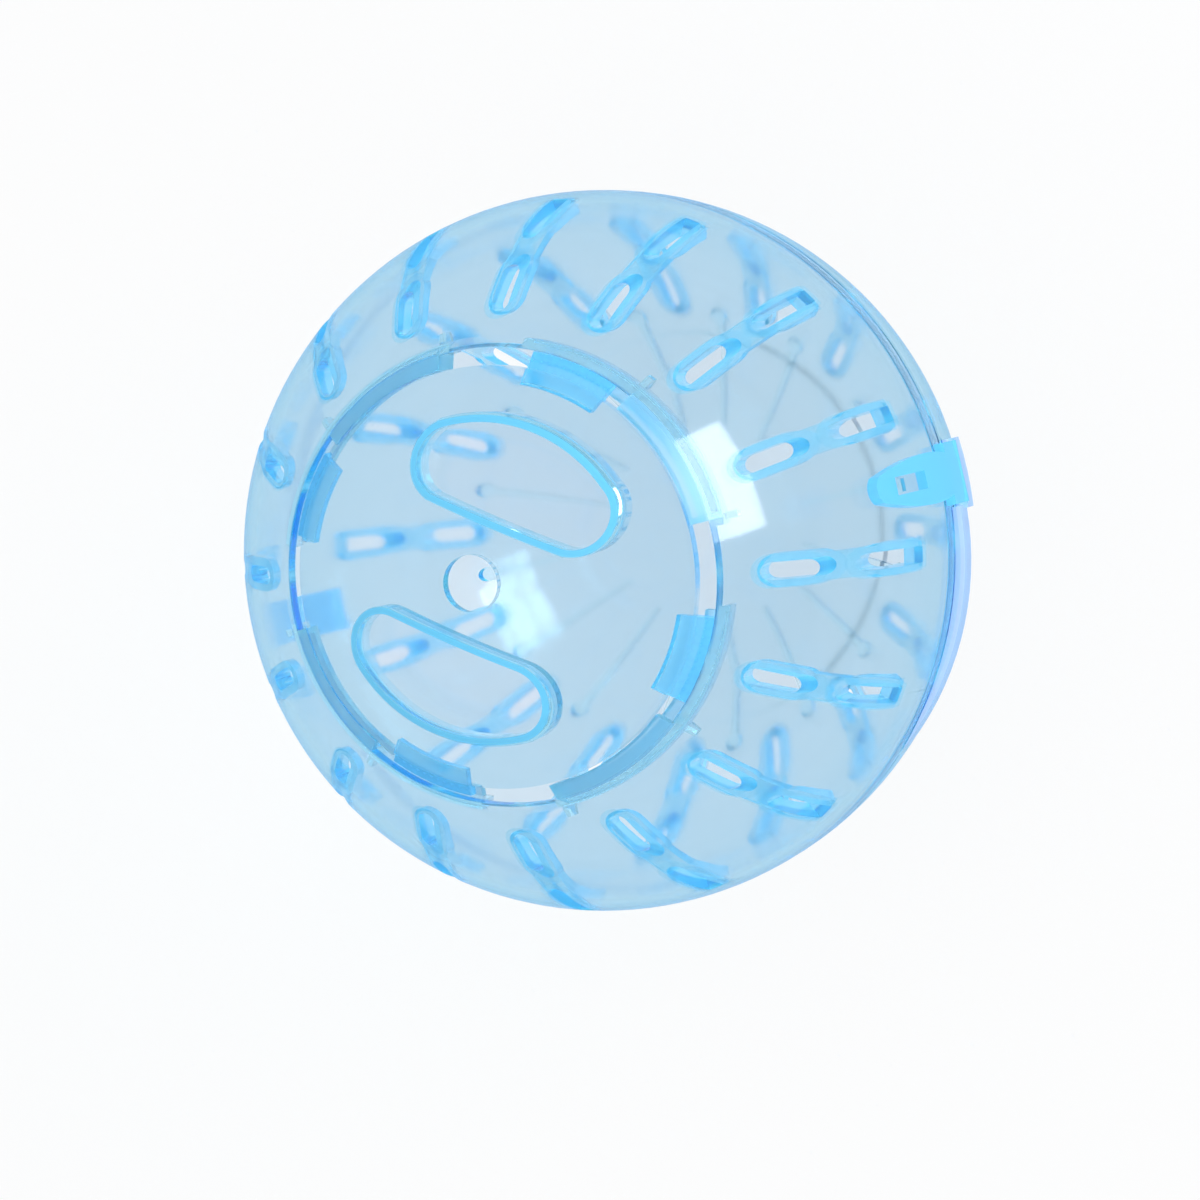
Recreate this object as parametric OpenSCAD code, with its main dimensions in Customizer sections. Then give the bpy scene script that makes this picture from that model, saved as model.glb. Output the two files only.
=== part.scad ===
// Small hamster exercise ball, clear tinted plastic, in two snapped half shells with a
// round lift-out door. +Z runs out through the door, +X along the door's grip bar, and
// the origin is the ball's centre, on the plane where the two half shells meet.

/* [Ball] */
// Outer diameter of the half shells
ball_d = 100; // [97:1:125]
// Wall thickness of both half shells
shell_wall = 1.6; // [1.3:0.1:2.2]
// Height of the straight band between the two half spheres
band_h = 2.5; // [2:0.1:4]

/* [Seam] */
// Height of the inner lip that centres the half shells on each other
lap_h = 3; // [2:0.1:4]
// Running gap between the lip and its rebate
lap_gap = 0.1; // [0.05:0.05:0.2]
// Hairline gap between the half shells along the seam
seam_gap = 0.06; // [0.02:0.01:0.15]
// Chamfer along both outer edges of the seam
seam_chamfer = 0.3; // [0.1:0.1:0.5]
// How far the thumb tab stands out of the ball
thumb_reach = 1.35; // [0.8:0.05:2]
// How much smaller the thumb tab's edge circle is than the ball
thumb_tighter = 7.65; // [6:0.05:10]
// Height of the thumb tab on the door's side of the seam
thumb_front_h = 1.2; // [0.8:0.1:1.8]
// Height of the thumb tab on the back side of the seam
thumb_back_h = 3.4; // [2:0.1:4.5]
// Turn from the latch to the thumb tab's middle
thumb_turn = 17; // [15:0.5:19]
// Bevel along the thumb tab's edge
thumb_bevel = 0.5; // [0.2:0.1:0.6]

/* [Vents] */
// Number of vents round each half shell
vent_count = 16; // [8:2:16]
// Width of a vent slot
vent_w = 2.3; // [1.6:0.1:3]
// Share of the room between door and outline that the slots nearer the pole take, in plan
inner_vent_share = 0.405; // [0.3:0.005:0.42]
// Share of that room that the slots nearer the seam take
outer_vent_share = 0.37; // [0.3:0.005:0.4]
// Distance of the inner slots from the door's edge, in plan
vent_door_gap = 4.5; // [4:0.1:5]
// Distance of the outer slots from the ball's outline, in plan
vent_seam_gap = 1.4; // [1.3:0.1:2]
// Width of the raised rim round each slot
vent_rim_w = 1; // [0.6:0.1:1.3]
// Height of the raised rim, towards the inside
vent_rim_h = 1.2; // [0.6:0.1:1.6]
// Width of the raised bridge between two slots
vent_bridge_w = 3.5; // [2:0.1:4]

/* [Back ribs] */
// Radius at which the back ribs start
rib_start = 15.5; // [10:0.5:20]
// Length of a back rib
rib_len = 17.5; // [10:0.5:19]
// Width of a back rib at its inner end
rib_tip_w = 0.5; // [0.4:0.1:0.8]
// Width of a back rib at its outer end
rib_root_w = 1; // [0.8:0.1:1.4]
// Height of a back rib
rib_h = 1; // [0.5:0.1:1.5]
// Radius of the round pad that ends a back rib
rib_pad_r = 1.1; // [0.8:0.1:1.6]

/* [Door opening] */
// Radius of the door opening
door_r = 29.4; // [28:0.1:31]
// Thickness of the collar round the opening
collar_t = 0.8; // [0.8:0.1:1.5]
// How far the collar reaches past the shelves, into the ball
collar_more = 0.4; // [0.2:0.1:1]
// How far lips and shelves reach in from the collar
lip_reach = 2; // [1.6:0.1:2.2]
// Thickness of a lip
lip_t = 1.1; // [0.8:0.1:1.1]
// Thickness of a shelf that carries a lug
shelf_t = 1; // [0.8:0.1:1.5]
// Angle that one lip spans
lip_angle = 37; // [30:1:40]
// Angle from a lug's middle to the middle of its lip
lip_turn = 35.5; // [34:0.5:37]
// Angle that a shelf reaches past the resting lug
shelf_more = 1.5; // [0.5:0.5:3]
// Angle that the stop at the end of a lip takes up
stop_angle = 1.5; // [1:0.1:2]
// Thickness of the small ribs outside the collar
tick_t = 0.9; // [0.6:0.1:1.2]
// Length of the small ribs outside the collar
tick_len = 1.5; // [0.8:0.1:1.6]
// Height of the small ribs outside the collar
tick_h = 2.6; // [2:0.1:3]

/* [Door] */
// Wall thickness of the door
lid_wall = 1.6; // [1.5:0.1:2]
// Running gap between the door's edge and the lips
lid_gap = 0.3; // [0.2:0.05:0.4]
// Number of lugs round the door
lug_count = 4; // [2:1:4]
// Angle that one lug spans
lug_angle = 23; // [16:1:24]
// Thickness of a lug
lug_t = 1.4; // [1:0.1:1.6]
// How far a lug reaches under the door
lug_under = 2.4; // [1.5:0.1:2.6]
// Running gap above a lug, under its lip
lug_gap = 0.3; // [0.15:0.05:0.3]
// Gap between a resting lug and its shelf
shelf_gap = 0.2; // [0.05:0.05:0.3]
// Radius of the round hole in the middle of the door
hole_r = 3.65; // [3:0.05:4.5]
// Width of the grip bar
grip_w = 16.7; // [14:0.1:18]
// Length of a finger recess, along the grip bar
recess_len = 26.8; // [24:0.1:28]
// Distance between a finger recess and the inner edge of a lug
recess_margin = 4.6; // [4:0.1:5.2]
// Corner radius of a finger recess
recess_corner = 4.4; // [3.5:0.1:5]
// Depth of a finger recess
recess_depth = 3.8; // [3.4:0.1:5]
// Wall and floor thickness of a finger recess
recess_wall = 0.9; // [0.8:0.1:1.6]

/* [Latch] */
// Direction of the latch round the ball
latch_azimuth = 33.75; // [33.75]
// Length of the latch tongue above the seam
latch_len = 22.5; // [20:0.5:24]
// Width of the latch tongue at its widest
latch_w = 6.8; // [6:0.1:7.4]
// Distance of the widest place from the tongue's tip
latch_wide_at = 13; // [11:0.5:14]
// Radius of the latch tongue's curved sides, which narrow it towards both ends
latch_side_r = 45; // [40:1:80]
// Radius of the latch tongue's tip
latch_tip_r = 2.2; // [1.9:0.1:2.6]
// Width of the tongue at its root
latch_root_w = 8.4; // [7.5:0.1:9]
// Length of the wide part at the tongue's root
latch_root_len = 3.2; // [2:0.1:4]
// Thickness of the latch tongue
latch_t = 1.4; // [1:0.1:1.8]
// Gap between the tongue and the half shell under it
latch_gap = 0.25; // [0.2:0.05:0.4]
// Length of the window in the tongue
window_len = 7.4; // [6:0.1:8]
// Width of the window in the tongue
window_w = 2.4; // [1.8:0.1:3]
// Distance of the window from the tongue's tip
window_tip_gap = 4; // [3:0.1:5]
// Length of the catch that stands in the window
catch_len = 2.4; // [1.8:0.1:3]
// Height of the catch above the half shell
catch_h = 1.1; // [0.8:0.1:1.4]
// Gap between the catch and the window's edges, and beside the tongue's root
catch_gap = 0.35; // [0.3:0.05:0.5]
// Radius of the tongue's rounded root
knuckle_r = 0.8; // [0.75:0.05:1]
// Running gap between the rounded root and its seat
knuckle_gap = 0.06; // [0.03:0.01:0.1]
// Height of the seat that carries the tongue
latch_seat_h = 3.4; // [2.5:0.1:4.5]

/* [Hinge strap] */
// Length of the strap over the seam
strap_len = 25; // [18:0.5:28]
// Width of the strap
strap_w = 6.4; // [5:0.1:7]
// Thickness of the strap
strap_t = 1.2; // [0.8:0.1:1.6]
// Gap between the strap and the half shells
strap_gap = 0.05; // [0.02:0.01:0.1]
// Width of the fold groove along the seam
fold_w = 1.6; // [1:0.1:2.5]
// Depth of the fold groove
fold_depth = 0.7; // [0.3:0.1:0.7]

/* [Hidden] */
$fn = 128;

// Overrun that cuts reach past the faces they cut
over = 1;
// Overlap that joins a rib, lip or pad to the wall that carries it
root = 0.5;
// How far a recess's long arc is set in from its corner arcs, so that they cross cleanly
arc_ease = 0.04;
// Colours of the tinted plastic
tint = [0.70, 0.85, 0.95, 0.55];
deep_tint = [0.45, 0.76, 0.95, 0.75];

ball_r = ball_d / 2;
half_band = band_h / 2;
inner_r = ball_r - shell_wall;
lap_r = ball_r - shell_wall / 2;

// Vents in plan: radii at which the two slots start and end
inner_vent_start = door_r + vent_door_gap;
outer_vent_end = ball_r - vent_seam_gap;
vent_room = outer_vent_end - inner_vent_start;
inner_vent_end = inner_vent_start + inner_vent_share * vent_room;
outer_vent_start = outer_vent_end - outer_vent_share * vent_room;
vent_pitch = 360 / vent_count;
// How steeply the planes through the half shell's centre rise that end the outer slots
// and their rims
vent_end_rise = acos(outer_vent_end / ball_r);
rim_end_rise = vent_end_rise - vent_rim_w * 180 / (PI * inner_r);

// Door opening and lugs: radii of thin spherical layers under the outer surface
lug_pitch = 360 / lug_count;
lip_r = door_r - lip_reach;
lip_low_r = ball_r - lip_t;
lug_top_r = lip_low_r - lug_gap;
lug_low_r = lug_top_r - lug_t;
shelf_top_r = lug_low_r - shelf_gap;
shelf_low_r = shelf_top_r - shelf_t;
collar_r = door_r + collar_t;
collar_low = sqrt(shelf_low_r * shelf_low_r - door_r * door_r) - collar_more;
tick_angle = tick_t * 180 / (PI * door_r);
collar_from = -lip_turn - lip_angle / 2 - tick_angle;
collar_end = lug_angle / 2 + shelf_more + tick_angle;

// Door
lid_r = lip_r - lid_gap;
lug_r = door_r - lid_gap;
lug_inner_r = lid_r - lug_under;
recess_y = grip_w / 2;
recess_r = lug_inner_r - recess_margin;
floor_r = ball_r - recess_depth;

// Latch: the tongue is built about the middle of its length
deg_per_mm = 180 / (PI * ball_r);
latch_mid = 90 - latch_len * deg_per_mm / 2;
latch_inner_r = ball_r + latch_gap;
latch_outer_r = latch_inner_r + latch_t;
latch_half = latch_outer_r * sin(latch_len * deg_per_mm / 2);
knuckle_x = ball_r + latch_gap + latch_t / 2 + (knuckle_r - latch_t / 2) / 2;
knuckle_z = -half_band;
window_start = window_tip_gap - latch_half;
catch_start = window_start + catch_gap;
catch_w = window_w - 2 * catch_gap;

// Places a child at the front half shell's centre
module at_front() {
    translate([0, 0, half_band]) children();
}

// Places a child at the back half shell's centre, upside down
module at_back() {
    mirror([0, 0, 1]) at_front() children();
}

// A spherical wall between two radii
module sphere_layer(outer, inner) {
    difference() {
        sphere(r = outer);
        sphere(r = inner);
    }
}

// An upright ring, between two radii and two angles
module ring_sector(inner, outer, middle, span) {
    rotate([0, 0, middle - span / 2])
        rotate_extrude(angle = span)
            translate([inner, 0])
                square([outer - inner, ball_r]);
}

// A slot outline with round ends, along X from one radius to the other
module slot_shape(start, end, width) {
    translate([start + width / 2, 0]) circle(d = width);
    translate([end - width / 2, 0]) circle(d = width);
    translate([start + width / 2, -width / 2])
        square([end - start - width, width]);
}

// The room above a plane that rises from the half shell's centre towards one side
module above_slope(rise) {
    rotate([90, 0, 0])
        linear_extrude(height = ball_d, center = true)
            polygon([[0, 0], [ball_d * cos(rise), ball_d * sin(rise)],
                     [ball_d * cos(rise), ball_d], [0, ball_d]]);
}

// The two slots of one vent, as upright cutters. The outer slot's end wall slopes, so that
// it opens towards the outside
module vent_cut() {
    intersection() {
        linear_extrude(height = ball_d)
            union() {
                slot_shape(inner_vent_start, inner_vent_end, vent_w);
                slot_shape(outer_vent_start, outer_vent_end + vent_w / 4, vent_w);
            }
        above_slope(vent_end_rise);
    }
}

// The raised rims and the bridge of one vent, before they are trimmed to the wall
module vent_rim() {
    bridge_start = inner_vent_end - vent_w / 2;
    bridge_len = outer_vent_start - inner_vent_end + vent_w;
    intersection() {
        linear_extrude(height = ball_d)
            union() {
                slot_shape(inner_vent_start - vent_rim_w, inner_vent_end + vent_rim_w,
                           vent_w + 2 * vent_rim_w);
                slot_shape(outer_vent_start - vent_rim_w, inner_r - vent_rim_w / 2,
                           vent_w + 2 * vent_rim_w);
                translate([bridge_start, -vent_bridge_w / 2])
                    square([bridge_len, vent_bridge_w]);
            }
        above_slope(rim_end_rise);
    }
}

// A solid half ball with its share of the straight band, seam at height 0
module half_ball(radius) {
    translate([0, 0, half_band])
        intersection() {
            sphere(r = radius);
            cylinder(r = radius + over, h = radius + over);
        }
    cylinder(r = radius, h = half_band);
}

// The plain wall of one half shell, with its seam chamfer, as seen from the front
module half_wall() {
    difference() {
        half_ball(ball_r);
        at_front() sphere(r = inner_r);
        translate([0, 0, -over]) cylinder(r = inner_r, h = half_band + over);
        rotate_extrude()
            polygon([[ball_r - seam_chamfer, 0], [ball_r + over, -over],
                     [ball_r + over, seam_chamfer + over], [ball_r, seam_chamfer]]);
    }
}

// The rims of all the vents, trimmed to lie on the inside of the wall
module vent_rims() {
    at_front() intersection() {
        sphere_layer(inner_r + root, inner_r - vent_rim_h);
        union() {
            for (k = [0 : vent_count - 1])
                rotate([0, 0, k * vent_pitch]) vent_rim();
        }
    }
}

// All the vent slots of one half shell
module vent_cuts() {
    at_front()
        for (k = [0 : vent_count - 1])
            rotate([0, 0, k * vent_pitch]) vent_cut();
}

// A tab like a thin crescent that a thumb pushes, outside the ball by the seam. It ends
// beside the latch tongue's root
module thumb_tab(height) {
    edge_r = ball_r - thumb_tighter;
    shift = ball_r + thumb_reach - edge_r;
    difference() {
        rotate([0, 0, latch_azimuth - thumb_turn])
            translate([shift, 0, 0])
                union() {
                    cylinder(r = edge_r, h = height - thumb_bevel);
                    translate([0, 0, height - thumb_bevel])
                        cylinder(r1 = edge_r, r2 = edge_r - thumb_bevel, h = thumb_bevel);
                }
        translate([0, 0, -over]) cylinder(r = inner_r + root, h = height + 2 * over);
        rotate([0, 0, latch_azimuth])
            translate([0, -latch_root_w / 2 - catch_gap, -over])
                cube([ball_d, ball_d, height + 2 * over]);
    }
}

// Lips, shelves and stops of the door opening, one set per lug
module door_fittings() {
    for (k = [0 : lug_count - 1]) {
        lug_at = k * lug_pitch;
        lip_at = lug_at - lip_turn;
        shelf_from = lip_at - lip_angle / 2;
        shelf_end = lug_at + lug_angle / 2 + shelf_more;
        // lip that a turned lug slides under
        intersection() {
            sphere_layer(ball_r, lip_low_r);
            ring_sector(lip_r, door_r + root, lip_at, lip_angle);
        }
        // shelf that carries the lug
        intersection() {
            sphere_layer(shelf_top_r, shelf_low_r);
            ring_sector(lip_r, door_r + root, (shelf_end + shelf_from) / 2,
                        shelf_end - shelf_from);
        }
        // stop at the far end of the lip
        intersection() {
            sphere_layer(ball_r, shelf_low_r);
            ring_sector(lip_r, door_r + root, shelf_from + stop_angle / 2, stop_angle);
        }
    }
}

// Collar that carries the shelves, one stretch per lug, with small upright ribs at both
// ends of each lip
module door_collar() {
    for (k = [0 : lug_count - 1])
        intersection() {
            sphere(r = ball_r);
            translate([0, 0, collar_low])
                ring_sector(lip_r, collar_r, k * lug_pitch + (collar_end + collar_from) / 2,
                            collar_end - collar_from);
        }
    for (k = [0 : lug_count - 1])
        for (side = [-1, 1])
            rotate([0, 0, k * lug_pitch - lip_turn + side * lip_angle / 2])
                translate([collar_r - root, -tick_t / 2, collar_low])
                    cube([root + tick_len, tick_t, tick_h]);
}

// The catch that the latch tongue's window drops over
module latch_catch() {
    at_front() latch_frame()
        intersection() {
            sphere_layer(ball_r + catch_h, ball_r - root);
            translate([catch_start, 0, 0])
                linear_extrude(height = ball_d)
                    translate([0, -catch_w / 2]) square([catch_len, catch_w]);
        }
}

// Turns a child so that its Z runs out through the middle of the latch tongue, X towards
// the seam
module latch_frame() {
    rotate([0, 0, latch_azimuth]) rotate([0, latch_mid, 0]) children();
}

module front_shell() {
    color(tint) union() {
        difference() {
            union() {
                half_wall();
                vent_rims();
                thumb_tab(thumb_front_h);
                latch_catch();
                at_front() door_collar();
            }
            vent_cuts();
            cylinder(r = door_r, h = ball_d);
            // rebate over the back half shell's lip
            translate([0, 0, -over]) cylinder(r = lap_r + lap_gap / 2, h = lap_h + over);
        }
        at_front() door_fittings();
    }
}

// Radial ribs inside the back half shell, each ending in a round pad
module back_ribs() {
    rib_end = rib_start + rib_len;
    intersection() {
        sphere_layer(inner_r + root, inner_r - rib_h);
        for (k = [0 : vent_count - 1])
            rotate([0, 0, (k + 0.5) * vent_pitch])
                linear_extrude(height = ball_r)
                    union() {
                        polygon([[rib_start, -rib_tip_w / 2], [rib_end, -rib_root_w / 2],
                                 [rib_end, rib_root_w / 2], [rib_start, rib_tip_w / 2]]);
                        translate([rib_end, 0]) circle(r = rib_pad_r);
                    }
    }
}

// The seat on the back half shell that carries the latch tongue's rounded root, closed
// against the thumb tab beside it
module latch_seat() {
    side = latch_root_w / 2 + catch_gap;
    rotate([0, 0, latch_azimuth])
        difference() {
            intersection() {
                translate([0, -side - root, knuckle_z - latch_seat_h])
                    cube([ball_d, 2 * side + root, latch_seat_h - knuckle_gap]);
                translate([0, 0, knuckle_z - latch_seat_h])
                    difference() {
                        cylinder(r = latch_outer_r, h = latch_seat_h);
                        translate([0, 0, -over])
                            cylinder(r = lap_r + root, h = latch_seat_h + 2 * over);
                    }
            }
            translate([knuckle_x, 0, knuckle_z]) rotate([90, 0, 0])
                cylinder(r = knuckle_r + knuckle_gap, h = 2 * side, center = true);
            translate([ball_r, -side, knuckle_z]) cube([ball_r, 2 * side + over, ball_r]);
        }
}

module back_shell() {
    color(tint) union() {
        difference() {
            mirror([0, 0, 1])
                difference() {
                    union() {
                        half_wall();
                        vent_rims();
                        at_front() back_ribs();
                        thumb_tab(thumb_back_h);
                    }
                    vent_cuts();
                }
            // hairline gap along the seam
            translate([0, 0, -seam_gap]) cylinder(r = ball_d, h = over);
        }
        // lip that centres the front half shell
        difference() {
            translate([0, 0, -root])
                cylinder(r = lap_r - lap_gap / 2, h = lap_h + root - lap_gap);
            translate([0, 0, -over]) cylinder(r = inner_r, h = lap_h + 2 * over);
        }
        latch_seat();
    }
}

// Outline of a finger recess, grown by a margin on every side
module recess_shape(grow) {
    corner = recess_corner + grow;
    side_x = recess_len / 2 - recess_corner;
    low_y = recess_y + recess_corner;
    centre_r = recess_r - recess_corner;
    high_y = sqrt(centre_r * centre_r - side_x * side_x);
    union() {
        for (x = [-side_x, side_x])
            for (y = [low_y, high_y])
                translate([x, y]) circle(r = corner);
        translate([-side_x, low_y - corner])
            square([2 * side_x, high_y - low_y + corner]);
        translate([-side_x - corner, low_y])
            square([2 * side_x + 2 * corner, high_y - low_y]);
        intersection() {
            circle(r = recess_r + grow - arc_ease);
            polygon([[-side_x, low_y], [side_x, low_y], [side_x, high_y],
                     [2 * side_x, 2 * high_y], [-2 * side_x, 2 * high_y],
                     [-side_x, high_y]]);
        }
    }
}

module lid() {
    color(tint) at_front() difference() {
        union() {
            // domed plate, flush with the ball
            intersection() {
                sphere_layer(ball_r, ball_r - lid_wall);
                cylinder(r = lid_r, h = ball_d);
            }
            // walls and floors of the two finger recesses
            for (turn = [0, 180])
                intersection() {
                    sphere_layer(ball_r, floor_r - recess_wall);
                    rotate([0, 0, turn])
                        linear_extrude(height = ball_d) recess_shape(recess_wall);
                }
            // lugs, plates under the edge of the door
            intersection() {
                sphere_layer(lug_top_r, lug_low_r);
                union() {
                    for (k = [0 : lug_count - 1])
                        ring_sector(lug_inner_r, lug_r, k * lug_pitch, lug_angle);
                }
            }
        }
        for (turn = [0, 180])
            intersection() {
                sphere_layer(ball_d, floor_r);
                rotate([0, 0, turn])
                    linear_extrude(height = ball_d) recess_shape(0);
            }
        cylinder(r = hole_r, h = ball_d);
    }
}

// Outline of the latch tongue, seen from outside, with the seam at high X
module latch_shape() {
    tip_x = latch_tip_r - latch_half;
    wide_x = latch_wide_at - latch_half;
    root_x = latch_half - latch_root_len;
    end_x = latch_half + over;
    intersection() {
        translate([wide_x, latch_w / 2 - latch_side_r]) circle(r = latch_side_r);
        translate([wide_x, latch_side_r - latch_w / 2]) circle(r = latch_side_r);
        union() {
            translate([tip_x, 0]) circle(r = latch_tip_r);
            translate([tip_x - latch_tip_r / 4, -latch_w]) square([end_x - tip_x, 2 * latch_w]);
        }
    }
    translate([root_x, -latch_root_w / 2]) square([end_x - root_x, latch_root_w]);
}

module latch_tongue() {
    color(deep_tint) difference() {
        union() {
            at_front() intersection() {
                sphere_layer(latch_outer_r, latch_inner_r);
                latch_frame() linear_extrude(height = ball_d) latch_shape();
                rotate([0, 0, latch_azimuth])
                    translate([0, -latch_root_w, 0])
                        cube([ball_d, 2 * latch_root_w, ball_d]);
            }
            // straight foot and rounded root
            rotate([0, 0, latch_azimuth]) {
                intersection() {
                    translate([latch_inner_r - latch_t, -latch_root_w / 2, knuckle_z])
                        cube([ball_r, latch_root_w, half_band - knuckle_z]);
                    translate([0, 0, knuckle_z])
                        difference() {
                            cylinder(r = latch_outer_r, h = half_band - knuckle_z);
                            translate([0, 0, -over])
                                cylinder(r = latch_inner_r, h = ball_r);
                        }
                }
                translate([knuckle_x, 0, knuckle_z]) rotate([90, 0, 0])
                    cylinder(r = knuckle_r, h = latch_root_w, center = true);
            }
        }
        // window
        at_front() latch_frame()
            linear_extrude(height = ball_d)
                translate([window_start, -window_w / 2]) square([window_len, window_w]);
    }
}

module hinge_strap() {
    strap_inner_r = ball_r + strap_gap;
    strap_outer_r = strap_inner_r + strap_t;
    half_len = strap_len / 2;
    color(deep_tint) difference() {
        intersection() {
            union() {
                at_front() intersection() {
                    sphere_layer(strap_outer_r, strap_inner_r);
                    cylinder(r = ball_d, h = half_len);
                }
                at_back() intersection() {
                    sphere_layer(strap_outer_r, strap_inner_r);
                    cylinder(r = ball_d, h = half_len);
                }
                translate([0, 0, -half_band])
                    difference() {
                        cylinder(r = strap_outer_r, h = band_h);
                        translate([0, 0, -over])
                            cylinder(r = strap_inner_r, h = band_h + 2 * over);
                    }
            }
            rotate([0, 0, latch_azimuth + 180])
                translate([0, -strap_w / 2, -half_len])
                    cube([ball_d, strap_w, strap_len]);
        }
        // fold groove along the seam
        translate([0, 0, -fold_w / 2])
            difference() {
                cylinder(r = ball_d, h = fold_w);
                translate([0, 0, -over])
                    cylinder(r = strap_outer_r - fold_depth, h = fold_w + 2 * over);
            }
    }
}

front_shell();
back_shell();
lid();
latch_tongue();
hinge_strap();
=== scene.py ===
"""Looks of a small hamster exercise ball: clear, light blue moulded plastic on a white table."""

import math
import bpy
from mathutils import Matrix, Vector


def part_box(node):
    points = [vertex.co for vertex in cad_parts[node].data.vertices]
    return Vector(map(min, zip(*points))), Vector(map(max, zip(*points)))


bl_info = {
    "name": "Hamster Ball Looks",
    "version": (1, 0, 0),
    "blender": (4, 5, 0),
    "location": "View3D > Sidebar > Hamster Ball",
    "description": "Clear tinted plastic for the ball's mouldings, and a white table to show it on",
    "category": "Object",
}

import bmesh
import bpy
from mathutils import Matrix, Vector

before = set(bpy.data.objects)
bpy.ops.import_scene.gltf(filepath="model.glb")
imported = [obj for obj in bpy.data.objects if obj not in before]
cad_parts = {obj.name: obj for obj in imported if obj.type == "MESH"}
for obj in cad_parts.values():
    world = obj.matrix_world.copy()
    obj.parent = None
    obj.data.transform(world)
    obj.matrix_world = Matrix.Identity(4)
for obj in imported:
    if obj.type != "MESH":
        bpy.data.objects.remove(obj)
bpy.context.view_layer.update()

MM = 0.001

# The ball's own measures: half its height from the frame, the rest as in the part's source
POLE_Z = -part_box("back_shell")[0].z
BAND_HALF = 1.25 * MM
BALL_R = POLE_Z - BAND_HALF
SHELL_WALL = 1.6 * MM

# The vents: how many, their slots' width and where these start and end from the axis, their
# rims and bridges, and how far above the seam's plane the rims end, seen from the centre
VENT_COUNT = 16
VENT_W = 2.3 * MM
VENT_RIM_W = 1.0 * MM
VENT_BRIDGE_W = 3.5 * MM
INNER_VENT = (33.9 * MM, 39.85 * MM)
OUTER_VENT = (43.16 * MM, 48.6 * MM)
RIM_END_RISE = math.radians(12.41)

# The door's lugs: how many, from where to where they reach, how wide and how deep they lie
LUG_COUNT = 4
LUG_REACH = (24.7 * MM, 29.1 * MM)
LUG_HALF_ANGLE = math.radians(11.5)
LUG_DEPTH = 1.4 * MM

# A finger recess: half its length, its straight side, its long arc, its corners and its wall
RECESS_HALF = 13.4 * MM
RECESS_SIDE = 8.35 * MM
RECESS_ARC = 20.1 * MM
RECESS_CORNER = 4.4 * MM
RECESS_WALL = 0.9 * MM

# Radius of the door opening, into which its lips reach, and of the collar round it
DOOR_R = 29.4 * MM
COLLAR_R = 30.2 * MM

# Radius at which the lip at the seam meets its rebate, and how high it is
LAP_R = 49.2 * MM
LAP_H = 3.2 * MM

# Width of the line along the seam's outer edge, and the circle of the thumb tab's edge
SEAM_LINE_W = 0.45 * MM
TAB_MIDDLE = (8.62 * MM, 2.59 * MM)
TAB_R = 42.35 * MM

# Heights of the marks' noise from which handling marks show a little and fully
MARK_RANGE = (0.55, 0.8)

# Width over which one share of a surface passes into the next: along a skin, through a wall,
# at the foot of the thumb tab and, as an angle, at the rims' ends and at the lugs' sides
BLEND = 0.15 * MM
WALL_BLEND = BLEND / 3
TAB_FOOT, TAB_BLEND = 0.1 * MM, 0.05 * MM
RIM_END_BLEND, LUG_SIDE_BLEND = 0.004, 0.005

# Where the edges at the door opening fade, how far in from the vents, from full to none
DOOR_EDGE_FADE = (1.0 * MM, 2.0 * MM)

# Depth at which the lines round the recesses start to fade and are gone
RECESS_FADE = (1.0 * MM, 3.0 * MM)

# How square to the ball's outward way a face is where it counts as a skin and as an edge
SKIN_SQUARE, EDGE_SQUARE = 0.93, 0.6

# The camera's film and nearest view, where the photograph shows the ball's centre, and which
# way the camera is turned
FILM_W = 36.0
NEAREST = 10.0 * MM
PHOTO_SIDE = 1200
CENTRE_PIXEL = (607.3, 549.6)
CAMERA_RIGHT = (0.884, 0.325, -0.336)
CAMERA_BACK = (0.283, 0.199, 0.938)


class Wire:
    """A socket that can be used in sums."""

    def __init__(self, plan, socket):
        self.plan = plan
        self.socket = socket

    def _maths(self, operation, *values):
        return self.plan.node("ShaderNodeMath", {"operation": operation}, *values)

    def __neg__(self):
        return self * -1.0

    def __add__(self, other):
        return self._maths("ADD", self, other)

    def __radd__(self, other):
        return self._maths("ADD", other, self)

    def __sub__(self, other):
        return self._maths("SUBTRACT", self, other)

    def __rsub__(self, other):
        return self._maths("SUBTRACT", other, self)

    def __mul__(self, other):
        return self._maths("MULTIPLY", self, other)

    def __rmul__(self, other):
        return self._maths("MULTIPLY", other, self)

    def __truediv__(self, other):
        return self._maths("DIVIDE", self, other)

    def __pow__(self, other):
        return self._maths("POWER", self, other)

    def __abs__(self):
        return self._maths("ABSOLUTE", self)

    def highest(self, other):
        return self._maths("MAXIMUM", self, other)

    def lowest(self, other):
        return self._maths("MINIMUM", self, other)

    def ramp(self, low, high):
        """0 at low and before it, 1 at high and past it, smooth between."""
        return self.plan.node(
            "ShaderNodeMapRange",
            {"interpolation_type": "SMOOTHSTEP"},
            self,
            low,
            high,
            0.0,
            1.0,
        )


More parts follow.
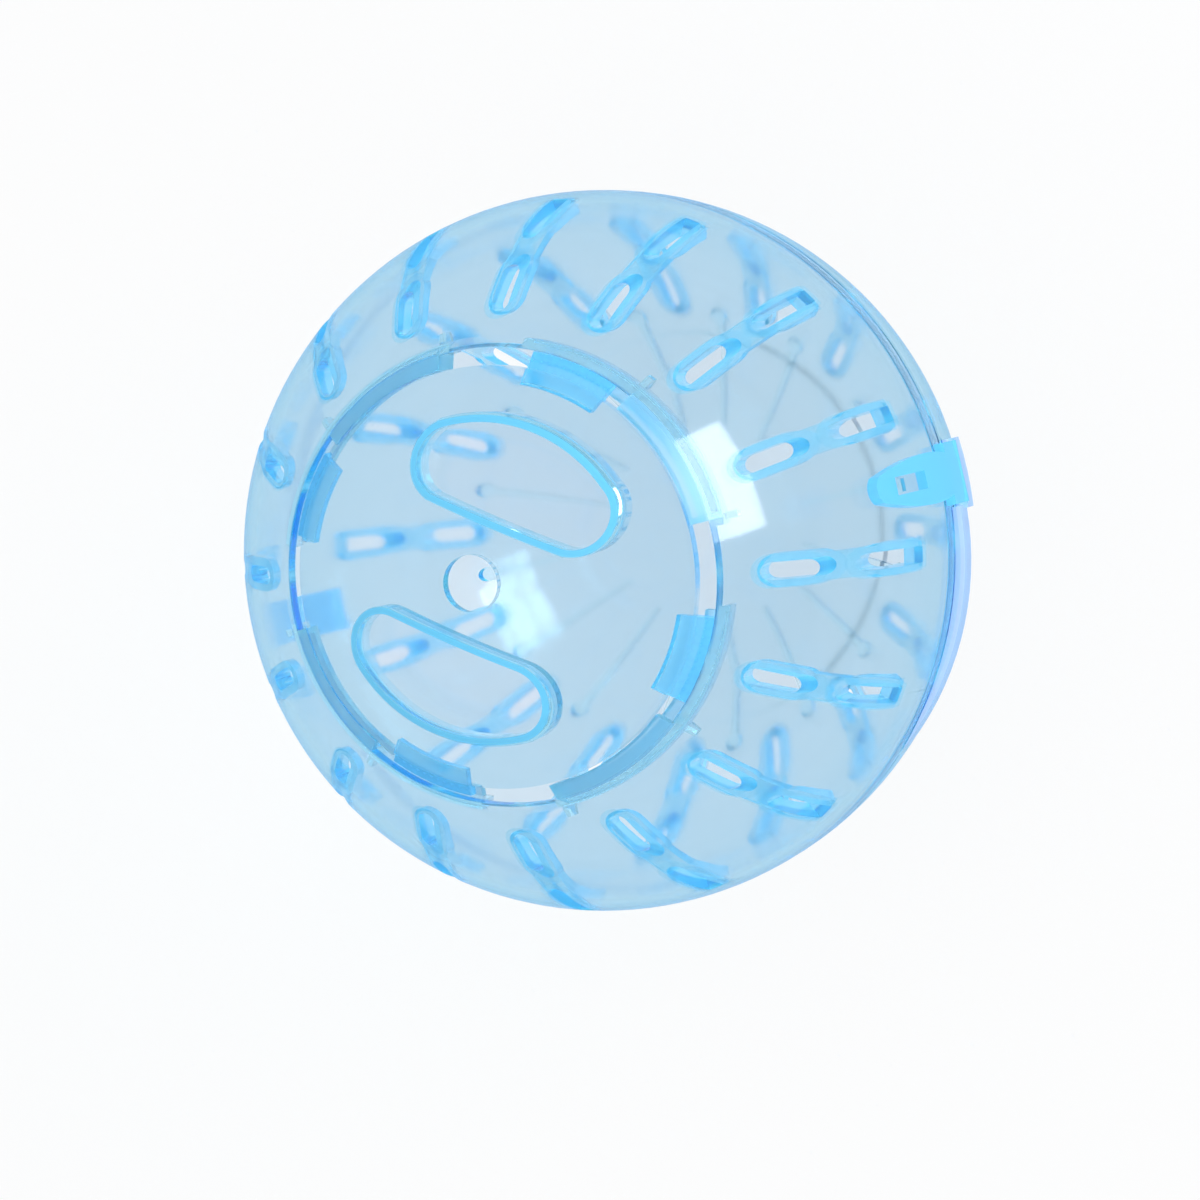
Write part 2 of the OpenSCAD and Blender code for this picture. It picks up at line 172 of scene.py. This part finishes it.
class Plan:
    """The node tree of one material or of the world."""

    def __init__(self, tree):
        self.tree = tree
        tree.nodes.clear()

    def node(self, kind, settings=None, *values, **named):
        """Adds a node. Its settings come first, then its inputs by place or by name."""
        made = self.tree.nodes.new(kind)
        for name, value in (settings or {}).items():
            setattr(made, name, value)
        wanted = list(enumerate(values)) + [(k.replace("_", " "), v) for k, v in named.items()]
        for key, value in wanted:
            socket = self.shown_input(made, key)
            if isinstance(value, Wire):
                self.tree.links.new(value.socket, socket)
            elif value is not None:
                socket.default_value = value
        shown = [socket for socket in made.outputs if socket.enabled]
        return Wire(self, shown[0]) if shown else made

    def shown_input(self, made, key):
        """An input by place, or the one of that name that the node's settings leave in use."""
        if isinstance(key, int):
            return made.inputs[key]
        return next(socket for socket in made.inputs if socket.name == key and socket.enabled)

    def part(self, wire, name):
        """Another output of the node that a wire comes from."""
        return Wire(self, wire.socket.node.outputs[name])


def new_material(name):
    material = bpy.data.materials.new(name)
    material.use_nodes = True
    return material, Plan(material.node_tree)


def dress(node_name, material):
    """Gives a CAD node its material."""
    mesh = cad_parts[node_name].data
    mesh.materials.clear()
    mesh.materials.append(material)


class Spot:
    """A point on a piece, as sockets: its place, its distance from the ball's axis, its turn
    round it, the way outward from the ball's centre, how steeply that rises from the seam's
    plane, and its depth under the ball's surface."""

    def __init__(self, plan, centre_z):
        self.plan = plan
        self.place = plan.part(plan.node("ShaderNodeTexCoord"), "Object")
        axes = plan.node("ShaderNodeSeparateXYZ", None, self.place)
        self.x, self.y, self.z = (plan.part(axes, name) for name in "XYZ")
        self.out = length(self.x, self.y)
        self.turn = plan.node("ShaderNodeMath", {"operation": "ARCTAN2"}, self.y, self.x)
        centre = (0.0, 0.0, -centre_z)
        ray = plan.node("ShaderNodeVectorMath", {"operation": "ADD"}, self.place, centre)
        self.outward = plan.node("ShaderNodeVectorMath", {"operation": "NORMALIZE"}, ray)
        upward = plan.part(plan.node("ShaderNodeSeparateXYZ", None, self.outward), "Z")
        self.rise = plan.node("ShaderNodeMath", {"operation": "ARCSINE"}, abs(upward))
        reach = plan.node("ShaderNodeVectorMath", {"operation": "LENGTH"}, ray)
        self.depth = BALL_R - plan.part(reach, "Value")

    def off_nearest(self, count):
        """The turn from the nearest of some evenly spaced directions, the first along +X."""
        half_pitch = math.pi / count
        return self.plan.node("ShaderNodeMath", {"operation": "PINGPONG"}, self.turn, half_pitch)


def length(first, second):
    return (first * first + second * second) ** 0.5


def within(gap, blend=BLEND):
    """1 where a gap is below zero, 0 where it is above, with a soft edge."""
    return gap.ramp(blend, -blend)


def near_slot(spot, across, start, end):
    """How far a point is from the edge of a round-ended slot that runs outward from the axis."""
    half = VENT_W / 2
    before, after = (start + half) - spot.out, spot.out - (end - half)
    return length(before.highest(after).highest(0.0), across) - half


def vent_rims(spot, looks):
    """1 on the raised rims round the vents, less on the bridges between them, 0 elsewhere."""
    across = spot.off_nearest(VENT_COUNT) * spot.out
    inner = near_slot(spot, across, *INNER_VENT)
    outer = near_slot(spot, across, *OUTER_VENT)
    rim = within(inner.lowest(outer) - VENT_RIM_W) * within(RIM_END_RISE - spot.rise, RIM_END_BLEND)
    middle = (INNER_VENT[1] + OUTER_VENT[0]) / 2
    gap = (OUTER_VENT[0] - INNER_VENT[1]) / 2
    bridge = within(abs(spot.out - middle) - gap) * within(across - VENT_BRIDGE_W / 2)
    return rim.highest(looks.bridge_part * bridge)


def lugs(spot):
    """1 on the door's lugs, under its plate, 0 elsewhere."""
    side = within(spot.off_nearest(LUG_COUNT) - LUG_HALF_ANGLE, LUG_SIDE_BLEND)
    reach = within(LUG_REACH[0] - spot.out) * within(spot.out - LUG_REACH[1] - BLEND)
    return side * reach * within(LUG_DEPTH - spot.depth, WALL_BLEND)


def recess_walls(spot):
    """1 on the upper end of the wall round each finger recess, fading with depth."""
    x, y, out = abs(spot.x), abs(spot.y), spot.out
    side, low = RECESS_HALF - RECESS_CORNER, RECESS_SIDE + RECESS_CORNER
    centre = RECESS_ARC - RECESS_CORNER
    high = math.sqrt(centre**2 - side**2)
    # outside the outline: two corner circles, two straight stretches and the long arc
    corners = length(x - side, y - low).lowest(length(x - side, y - high)) - RECESS_CORNER
    end = (x - RECESS_HALF).highest(low - y).highest(y - high)
    straight = (x - side).highest(RECESS_SIDE - y).highest(y - high)
    sector = (x * (high / centre) - y * (side / centre)).highest(low - y)
    arc = sector.highest(out - RECESS_ARC)
    gap = corners.lowest(end).lowest(straight).lowest(arc)
    ring = within(-gap) * within(gap - RECESS_WALL)
    return ring * spot.depth.ramp(RECESS_FADE[1], RECESS_FADE[0])


def edges(spot):
    """1 on faces that stand across the ball's wall, such as the walls of slots, 0 on its skins."""
    plan = spot.plan
    face = plan.part(plan.node("ShaderNodeNewGeometry"), "True Normal")
    facing = plan.node("ShaderNodeVectorMath", {"operation": "DOT_PRODUCT"}, spot.outward, face)
    return abs(plan.part(facing, "Value")).ramp(SKIN_SQUARE, EDGE_SQUARE)


def lips(spot):
    """1 on the lips, shelves and stops of the door opening, 0 elsewhere."""
    return within(spot.out - DOOR_R)


def off_seam_line(spot):
    """0 on a thin line along the seam's outer edge, the thumb tab's counted in, 1 elsewhere."""
    off_tab = TAB_R - length(spot.x - TAB_MIDDLE[0], spot.y - TAB_MIDDLE[1])
    inside = off_tab.highest(BALL_R - spot.out)
    return 1.0 - within(inside - SEAM_LINE_W)


def seam_zone(spot):
    """1 by the seam and on the thumb tab, but for the thin line along the outer edge."""
    return within(OUTER_VENT[1] + BLEND - spot.out) * off_seam_line(spot)


def thin_places(spot, looks):
    """Share of light that goes straight: through the collar, and through the gaps between the
    half shells, whose faces nearly touch."""
    under = within(spot.out - COLLAR_R - BLEND) * within(DOOR_R + BLEND - spot.out)
    collar = under * within(SHELL_WALL - spot.depth, WALL_BLEND)
    lap = within(abs(spot.out - LAP_R) - BLEND) * within(abs(spot.z) - LAP_H)
    flat = within(abs(spot.z) - BLEND) * within(OUTER_VENT[1] - spot.out) * off_seam_line(spot)
    return (looks.thin_share * collar).highest(looks.gap_share * lap.highest(flat))


def thumb_tab(spot):
    """1 on the thumb tab, which stands out from the ball, 0 elsewhere."""
    return within(BALL_R + TAB_FOOT - spot.out, TAB_BLEND)


# The gathers masks give the share of milky plastic with its painted glow, a stand-in for light that
# gathers in the clear plastic at edges, rims and thick places.
def shell_gathers(spot, looks):
    """How milky a half shell is. The edges of the vents show all over, those at the door opening
    hardly, and those at the seam only as a thin line on the outside."""
    near, far = (INNER_VENT[0] - fade for fade in DOOR_EDGE_FADE)
    by_door = 1.0 - looks.edge_fade * spot.out.ramp(near, far)
    by_seam = 1.0 - looks.edge_fade * seam_zone(spot)
    shown = by_door * by_seam * edges(spot)
    rims = (looks.rim_share * vent_rims(spot, looks)).highest(looks.edge_share * shown)
    return rims.highest(looks.tab_share * thumb_tab(spot))


def front_gathers(spot, looks):
    """How milky the front half shell is, with its lips."""
    return shell_gathers(spot, looks).highest(looks.lip_share * lips(spot))


def door_gathers(spot, looks):
    """How milky the door is: its lugs, the lines round its recesses and, faintly, its edges."""
    lines = looks.line_share * recess_walls(spot)
    return (looks.lug_share * lugs(spot)).highest(lines).highest(looks.faint_share * edges(spot))


def latch_gathers(spot, looks):
    """How milky the latch tongue is, a little less at its edges."""
    return looks.latch_share - looks.strap_edge_share * edges(spot)


def strap_gathers(spot, looks):
    """How milky the hinge strap is, a little more at its edges."""
    return looks.strap_share + looks.strap_edge_share * edges(spot)


def noise(plan, place, scale, detail):
    return plan.node("ShaderNodeTexNoise", None, Vector=place, Scale=scale, Detail=detail)


def mixed_colour(plan, share, plain, other):
    """The plain colour where the share is 0, the other one where it is 1."""
    ends = {"A": (*plain, 1.0), "B": (*other, 1.0)}
    return plan.node("ShaderNodeMix", {"data_type": "RGBA"}, Factor=share, **ends)


def mixed_shader(plan, share, plain, other):
    """The plain shader where the share is 0, the other one where it is 1."""
    return plan.node("ShaderNodeMixShader", None, share, plain, other)


def milky_plastic(plan, looks, rough, wavy, glow, tint):
    """Plastic at a place where light gathers, lit from in front and from behind, with a painted
    glow that stands in for that gathered light.
    """
    front_lit = plan.node(
        "ShaderNodeBsdfPrincipled",
        None,
        Base_Color=tint,
        Roughness=rough + looks.milk_roughness,
        Normal=wavy,
        Emission_Color=glow,
        Emission_Strength=1.0,
    )
    back_lit = plan.node("ShaderNodeBsdfTranslucent", None, Color=(*looks.milk_tint, 1.0))
    return mixed_shader(plan, looks.back_share, front_lit, back_lit)


def clear_plastic(name, looks, gathers, centre_z=0.0, worn=None, thin=None, pale=None):
    """Clear tinted plastic. Its tint deepens with the length of plastic that light goes through.
    Light that runs inside the plastic comes out again where it gathers: at edges, rims and
    thick places. These are made milky and given a painted glow that stands in for that light,
    pale where it is hardly tinted. Places that rub are worn dull, and thin ones let light pass
    nearly straight."""
    material, plan = new_material(name)
    spot = Spot(plan, centre_z)
    share = gathers(spot, looks)
    # long soft waves that a cooling mould leaves, and fine handling marks
    waves = noise(plan, spot.place, looks.wave_scale, 1.0)
    marks = noise(plan, spot.place, looks.mark_scale, 3.0)
    bumps = {"Strength": looks.wave_strength, "Distance": looks.wave_height, "Height": waves}
    wavy = plan.node("ShaderNodeBump", None, **bumps)
    rough = looks.roughness + looks.mark_roughness * marks.ramp(*MARK_RANGE)
    if worn:
        rough = rough + looks.worn_roughness * worn(spot)
    body = plan.node(
        "ShaderNodeBsdfPrincipled",
        None,
        Base_Color=mixed_colour(plan, share, looks.surface_tint, looks.edge_tint),
        Roughness=rough,
        Normal=wavy,
        IOR=looks.ior,
        Transmission_Weight=1.0,
    )
    # painted glow of the milky places, brighter at their edges
    glow = mixed_colour(plan, edges(spot), looks.milk_painted_glow, looks.edge_painted_glow)
    tint = mixed_colour(plan, pale(spot) if pale else 0.0, looks.milk_tint, looks.pale_tint)
    milk = milky_plastic(plan, looks, rough, wavy, glow, tint)
    body = mixed_shader(plan, share, body, milk)
    if thin:
        straight = plan.node("ShaderNodeBsdfTransparent", None, Color=(*looks.thin_tint, 1.0))
        body = mixed_shader(plan, thin(spot, looks), body, straight)
    # light for the lamps' shadows passes straight through, a little tinted
    through = plan.node("ShaderNodeBsdfTransparent", None, Color=(*looks.shadow_tint, 1.0))
    ray = plan.part(plan.node("ShaderNodeLightPath"), "Is Shadow Ray")
    surface = mixed_shader(plan, ray, body, through)
    absorbed = {"Color": (*looks.tint, 1.0), "Density": looks.tint_density}
    inside = plan.node("ShaderNodeVolumeAbsorption", None, **absorbed)
    plan.node("ShaderNodeOutputMaterial", None, Surface=surface, Volume=inside)
    return material


def mirrored_only(plan, path):
    """1 for light that a face mirrors, 0 for light that goes through it."""
    return plan.part(path, "Is Glossy Ray") * (1.0 - plan.part(path, "Is Transmission Ray"))


def table_white(name, stage):
    """A white table that stays white to the eye and keeps a faint shadow. Through the ball it is a
    little warmer and greyer, a painted shade, and shiny faces mirror a bluer one, a painted
    reflection."""
    material, plan = new_material(name)
    place = plan.part(plan.node("ShaderNodeTexCoord"), "Object")
    grain = noise(plan, place, stage.grain_scale, 2.0)
    paint = plan.node(
        "ShaderNodeBsdfPrincipled",
        None,
        Base_Color=(*stage.table_tint, 1.0),
        Roughness=stage.table_roughness + stage.grain_roughness * grain,
    )
    path = plan.node("ShaderNodeLightPath")
    bent = plan.part(path, "Is Transmission Ray").highest(plan.part(path, "Is Glossy Ray"))
    looks = (
        # the table seen through the ball: even, greyer and a little warmer, a painted shade
        (bent * stage.bent_share, stage.table_through_painted_shade),
        # painted reflection: shiny faces mirror a bluer table
        (mirrored_only(plan, path), stage.painted_reflection_tint),
        (plan.part(path, "Is Camera Ray") * stage.table_glow, (1.0, 1.0, 1.0)),
    )
    surface = paint
    for share, colour in looks:
        light = plan.node("ShaderNodeEmission", None, Color=(*colour, 1.0), Strength=1.0)
        surface = mixed_shader(plan, share, surface, light)
    plan.node("ShaderNodeOutputMaterial", None, Surface=surface)
    return material


class BallLooks(bpy.types.PropertyGroup):
    """The clear plastic of the mouldings."""

    tint: bpy.props.FloatVectorProperty(
        name="Tint",
        description="Colour that thick plastic takes on",
        subtype="COLOR",
        size=3,
        default=(0.04, 0.90, 0.995),
    )
    tint_density: bpy.props.FloatProperty(
        name="Tint density", description="How fast the tint deepens, per metre", default=100.0
    )
    surface_tint: bpy.props.FloatVectorProperty(
        name="Surface tint",
        description="Colour of light that passes a surface",
        subtype="COLOR",
        size=3,
        default=(0.885, 0.915, 0.965),
    )
    edge_tint: bpy.props.FloatVectorProperty(
        name="Edge tint",
        description="Colour of light that passes an edge",
        subtype="COLOR",
        size=3,
        default=(0.74, 0.95, 0.99),
    )
    # Milky places stand in for light gathered in the clear plastic: lit milky cyan with a painted
    # glow
    milk_tint: bpy.props.FloatVectorProperty(
        name="Milk tint",
        description="Colour of the places that gather light",
        subtype="COLOR",
        size=3,
        default=(0.17, 0.70, 1.0),
    )
    # Painted glow: light that the milky places give off, a stand-in for light gathered in the clear
    # plastic
    milk_painted_glow: bpy.props.FloatVectorProperty(
        name="Milk glow",
        description="Light that these places give off",
        subtype="COLOR",
        size=3,
        default=(0.06, 0.15, 0.26),
    )
    # Painted glow, brighter on the milky edges
    edge_painted_glow: bpy.props.FloatVectorProperty(
        name="Edge glow",
        description="Light that milky edges give off",
        subtype="COLOR",
        size=3,
        default=(0.16, 0.34, 0.42),
    )
    thin_tint: bpy.props.FloatVectorProperty(
        name="Thin tint",
        description="Colour of light that goes straight through thin places",
        subtype="COLOR",
        size=3,
        default=(0.93, 0.955, 0.99),
    )
    thin_share: bpy.props.FloatProperty(
        name="Thin places", description="Share of light that goes straight there", default=0.65
    )
    gap_share: bpy.props.FloatProperty(
        name="Gaps", description="Share of light that crosses the seam's gaps", default=0.92
    )
    pale_tint: bpy.props.FloatVectorProperty(
        name="Pale tint",
        description="Colour of the thumb tab",
        subtype="COLOR",
        size=3,
        default=(0.63, 0.65, 0.88),
    )
    back_share: bpy.props.FloatProperty(
        name="Lit from behind", description="How much light milky places let through", default=0.35
    )
    # The shares below set how milky each place is, with its painted glow standing in for gathered
    # light
    tab_share: bpy.props.FloatProperty(
        name="Thumb tab", description="How milky the thumb tab is", default=0.85
    )
    lip_share: bpy.props.FloatProperty(
        name="Lips", description="How milky the lips of the door opening are", default=0.2
    )
    rim_share: bpy.props.FloatProperty(
        name="Rims", description="How milky the vents' rims are", default=0.3
    )
    bridge_part: bpy.props.FloatProperty(
        name="Bridges", description="Share of that on the bridges between slots", default=0.45
    )
    edge_share: bpy.props.FloatProperty(
        name="Edges", description="How milky the half shells' edges are", default=0.42
    )
    edge_fade: bpy.props.FloatProperty(
        name="Edge fade", description="Share lost at the door opening and the seam", default=0.9
    )
    faint_share: bpy.props.FloatProperty(
        name="Door edges", description="How milky the door's edges are", default=0.126
    )
    lug_share: bpy.props.FloatProperty(
        name="Lugs", description="How milky the door's lugs are", default=0.66
    )
    latch_share: bpy.props.FloatProperty(
        name="Latch tongue", description="How milky the latch tongue is", default=0.64
    )
    strap_share: bpy.props.FloatProperty(
        name="Hinge strap", description="How milky the hinge strap is", default=0.45
    )
    strap_edge_share: bpy.props.FloatProperty(
        name="Strap edges", description="How much the edges of both straps differ", default=0.1
    )
    line_share: bpy.props.FloatProperty(
        name="Recess lines", description="How milky the lines round the recesses are", default=0.95
    )
    shadow_tint: bpy.props.FloatVectorProperty(
        name="Shadow tint",
        description="Colour of lamp light that falls through a surface",
        subtype="COLOR",
        size=3,
        default=(0.88, 0.96, 0.99),
    )
    roughness: bpy.props.FloatProperty(
        name="Roughness", description="Roughness of the polished faces", default=0.065
    )
    worn_roughness: bpy.props.FloatProperty(
        name="Wear", description="How much rougher the rubbed places are", default=0.25
    )
    mark_roughness: bpy.props.FloatProperty(
        name="Marks", description="How much rougher the handling marks are", default=0.03
    )
    milk_roughness: bpy.props.FloatProperty(
        name="Milk roughness", description="How much rougher the milky places are", default=0.1
    )
    ior: bpy.props.FloatProperty(
        name="Refraction", description="Refractive index of clear polystyrene", default=1.5
    )
    wave_scale: bpy.props.FloatProperty(
        name="Wave scale", description="Fineness of the mould's soft waves", default=45.0
    )
    wave_strength: bpy.props.FloatProperty(
        name="Wave strength", description="How strongly the soft waves bend light", default=0.06
    )
    wave_height: bpy.props.FloatProperty(
        name="Wave height",
        description="Height of the mould's soft waves",
        unit="LENGTH",
        default=0.6 * MM,
    )
    mark_scale: bpy.props.FloatProperty(
        name="Mark scale", description="Fineness of the handling marks", default=900.0
    )


class StageLooks(bpy.types.PropertyGroup):
    """The table, the lights and the camera."""

    camera_distance: bpy.props.FloatProperty(
        name="Camera distance", description="From the ball's centre", unit="LENGTH", default=0.455
    )
    lens: bpy.props.FloatProperty(
        name="Lens", description="Focal length on a 36 mm film, in mm", default=97.56
    )
    light_steps: bpy.props.IntProperty(
        name="Light steps", description="Most surfaces that a ray of light may meet", default=32
    )
    table_size: bpy.props.FloatProperty(
        name="Table size", description="Side of the table", unit="LENGTH", default=4.0
    )
    table_tint: bpy.props.FloatVectorProperty(
        name="Table tint",
        description="Colour of the table's paint",
        subtype="COLOR",
        size=3,
        default=(0.93, 0.94, 0.95),
    )
    table_roughness: bpy.props.FloatProperty(
        name="Table roughness", description="Roughness of the table's paint", default=0.6
    )
    grain_scale: bpy.props.FloatProperty(
        name="Grain scale", description="Fineness of the paint's grain", default=60.0
    )
    grain_roughness: bpy.props.FloatProperty(
        name="Grain", description="How much rougher the paint's grain is", default=0.1
    )
    table_glow: bpy.props.FloatProperty(
        name="Table glow", description="Share of plain white that the eye sees", default=0.85
    )
    # Share of the even table colour with painted shade that is seen through the ball
    bent_share: bpy.props.FloatProperty(
        name="Table evenness", description="How even the table looks through the ball", default=0.8
    )
    # Painted shade: through the ball the table is greyer and a little warmer, as if in the ball's
    # shadow
    table_through_painted_shade: bpy.props.FloatVectorProperty(
        name="Table through plastic",
        description="How the white table looks through the ball",
        subtype="COLOR",
        size=3,
        default=(0.96, 0.885, 0.925),
    )
    world_light: bpy.props.FloatProperty(
        name="Room light", description="Strength of the light from all round", default=0.68
    )
    # Painted reflection: the room that shiny faces mirror is dimmer and bluer than the one that
    # lights the ball
    painted_reflection_tint: bpy.props.FloatVectorProperty(
        name="Mirrored room",
        description="Colour of the room in shiny faces",
        subtype="COLOR",
        size=3,
        default=(0.43, 0.65, 0.90),
    )
    sun_light: bpy.props.FloatProperty(
        name="Sky light", description="Strength of the soft light from above", default=0.3
    )
    sun_spread: bpy.props.FloatProperty(
        name="Sky light's spread",
        description="Angle over which the soft light comes",
        unit="ROTATION",
        default=math.radians(40.0),
    )
    sun_way: bpy.props.FloatVectorProperty(
        name="Sky light's way",
        description="Direction in which the soft light falls",
        subtype="XYZ",
        size=3,
        default=(-0.178, -0.437, -0.883),
    )
    window_power: bpy.props.FloatProperty(
        name="Window power", description="Power of the window light, in watts", default=6.2
    )
    window_size: bpy.props.FloatVectorProperty(
        name="Window size",
        description="Width and height of the window light",
        unit="LENGTH",
        size=2,
        default=(0.68, 0.46),
    )
    window_place: bpy.props.FloatVectorProperty(
        name="Window place",
        description="Middle of the window light",
        subtype="TRANSLATION",
        size=3,
        default=(0.70, 0.76, 0.61),
    )


class BALL_OT_shells(bpy.types.Operator):
    """Gives both half shells their clear plastic"""

    bl_idname = "ball.shells"
    bl_label = "Half shells"

    def execute(self, context):
        looks = context.scene.ball_looks
        front = clear_plastic(
            "front_shell_clear", looks, front_gathers, BAND_HALF, lips, thin_places, thumb_tab
        )
        back = clear_plastic(
            "back_shell_clear", looks, shell_gathers, -BAND_HALF, None, thin_places, thumb_tab
        )
        dress("front_shell", front)
        dress("back_shell", back)
        return {"FINISHED"}


class BALL_OT_door(bpy.types.Operator):
    """Gives the lift-out door its clear plastic"""

    bl_idname = "ball.door"
    bl_label = "Door"

    def execute(self, context):
        looks = context.scene.ball_looks
        dress("lid", clear_plastic("door_clear", looks, door_gathers, BAND_HALF))
        return {"FINISHED"}


class BALL_OT_straps(bpy.types.Operator):
    """Gives the latch tongue and the hinge strap their deeper tint: milky plastic with a painted
    glow
    """

    bl_idname = "ball.straps"
    bl_label = "Latch tongue and hinge strap"

    def execute(self, context):
        looks = context.scene.ball_looks
        dress("latch_tongue", clear_plastic("latch_clear", looks, latch_gathers))
        dress("hinge_strap", clear_plastic("strap_clear", looks, strap_gathers))
        return {"FINISHED"}


class BALL_OT_stage(bpy.types.Operator):
    """Sets up the table, the lights and the camera"""

    bl_idname = "ball.stage"
    bl_label = "Table, lights and camera"

    def execute(self, context):
        stage = context.scene.ball_stage
        self.make_table(stage)
        self.make_world(context.scene, stage)
        self.make_window(stage)
        self.make_sky_light(stage)
        self.make_camera(context.scene, stage)
        self.set_light_paths(context.scene, stage)
        return {"FINISHED"}

    def set_light_paths(self, scene, stage):
        """Clear walls, rims and ribs behind each other need long light paths."""
        scene.cycles.max_bounces = stage.light_steps
        scene.cycles.glossy_bounces = stage.light_steps
        scene.cycles.transmission_bounces = stage.light_steps
        scene.cycles.transparent_max_bounces = stage.light_steps

    def make_table(self, stage):
        mesh = bpy.data.meshes.new("table")
        shape = bmesh.new()
        bmesh.ops.create_grid(shape, x_segments=1, y_segments=1, size=stage.table_size / 2)
        bmesh.ops.translate(shape, verts=shape.verts, vec=(0, 0, -POLE_Z))
        shape.to_mesh(mesh)
        shape.free()
        mesh.materials.append(table_white("table_white", stage))
        table = bpy.data.objects.new("table", mesh)
        bpy.context.scene.collection.objects.link(table)

    def make_world(self, scene, stage):
        world = bpy.data.worlds.new("room")
        scene.world = world
        world.use_nodes = True
        plan = Plan(world.node_tree)
        path = plan.node("ShaderNodeLightPath")
        seen = plan.part(path, "Is Camera Ray")
        strength = stage.world_light + (1.0 - stage.world_light) * seen
        white, bluer = (1.0, 1.0, 1.0, 1.0), (*stage.painted_reflection_tint, 1.0)
        sky = plan.node("ShaderNodeBackground", None, Color=white, Strength=strength)
        # painted reflection: shiny faces mirror a dimmer, bluer room than the one that lights the
        # ball
        shine = plan.node("ShaderNodeBackground", None, Color=bluer, Strength=1.0)
        room = mixed_shader(plan, mirrored_only(plan, path), sky, shine)
        plan.node("ShaderNodeOutputWorld", None, Surface=room)

    def make_window(self, stage):
        light = bpy.data.lights.new("window", "AREA")
        light.shape = "RECTANGLE"
        light.size = stage.window_size[0]
        light.size_y = stage.window_size[1]
        light.energy = stage.window_power
        window = bpy.data.objects.new("window", light)
        bpy.context.scene.collection.objects.link(window)
        window.location = stage.window_place
        aim = Vector((0, 0, 0)) - window.location
        window.rotation_euler = aim.to_track_quat("-Z", "Y").to_euler()

    def make_sky_light(self, stage):
        light = bpy.data.lights.new("sky_light", "SUN")
        light.energy = stage.sun_light
        light.angle = stage.sun_spread
        sky_light = bpy.data.objects.new("sky_light", light)
        bpy.context.scene.collection.objects.link(sky_light)
        sky_light.rotation_euler = Vector(stage.sun_way).to_track_quat("-Z", "Y").to_euler()
        sky_light.visible_glossy = False
        sky_light.visible_transmission = False

    def make_camera(self, scene, stage):
        lens = bpy.data.cameras.new("camera")
        lens.sensor_fit = "HORIZONTAL"
        lens.sensor_width = FILM_W
        lens.lens = stage.lens
        lens.shift_x = (CENTRE_PIXEL[0] - PHOTO_SIDE / 2) / -PHOTO_SIDE
        lens.shift_y = (CENTRE_PIXEL[1] - PHOTO_SIDE / 2) / PHOTO_SIDE
        lens.clip_start = NEAREST
        camera = bpy.data.objects.new("camera", lens)
        scene.collection.objects.link(camera)
        right = Vector(CAMERA_RIGHT).normalized()
        back = Vector(CAMERA_BACK)
        back = (back - right * back.dot(right)).normalized()
        up = back.cross(right)
        turned = Matrix((right, up, back)).transposed().to_4x4()
        camera.matrix_world = Matrix.Translation(back * stage.camera_distance) @ turned
        scene.camera = camera


class BALL_PT_panel(bpy.types.Panel):
    """Lists the ball's pieces and the stage"""

    bl_idname = "BALL_PT_panel"
    bl_label = "Hamster Ball"
    bl_space_type = "VIEW_3D"
    bl_region_type = "UI"
    bl_category = "Hamster Ball"

    def draw(self, context):
        for operator in OPERATORS:
            self.layout.operator(operator.bl_idname)
        for group in (context.scene.ball_looks, context.scene.ball_stage):
            for name in group.bl_rna.properties.keys():
                if name not in ("rna_type", "name"):
                    self.layout.prop(group, name)


OPERATORS = (BALL_OT_shells, BALL_OT_door, BALL_OT_straps, BALL_OT_stage)
CLASSES = (BallLooks, StageLooks, *OPERATORS, BALL_PT_panel)


def register():
    for item in CLASSES:
        bpy.utils.register_class(item)
    bpy.types.Scene.ball_looks = bpy.props.PointerProperty(type=BallLooks)
    bpy.types.Scene.ball_stage = bpy.props.PointerProperty(type=StageLooks)


def unregister():
    del bpy.types.Scene.ball_stage
    del bpy.types.Scene.ball_looks
    for item in reversed(CLASSES):
        bpy.utils.unregister_class(item)


def plain(box):
    """A box of vectors as plain lists of numbers."""
    return [[float(number) for number in corner] for corner in box]


def main():
    register()
    bpy.context.scene.view_settings.view_transform = "Standard"
    bpy.ops.ball.shells()
    bpy.ops.ball.door()
    bpy.ops.ball.straps()
    bpy.ops.ball.stage()


if __name__ == "__main__":
    main()
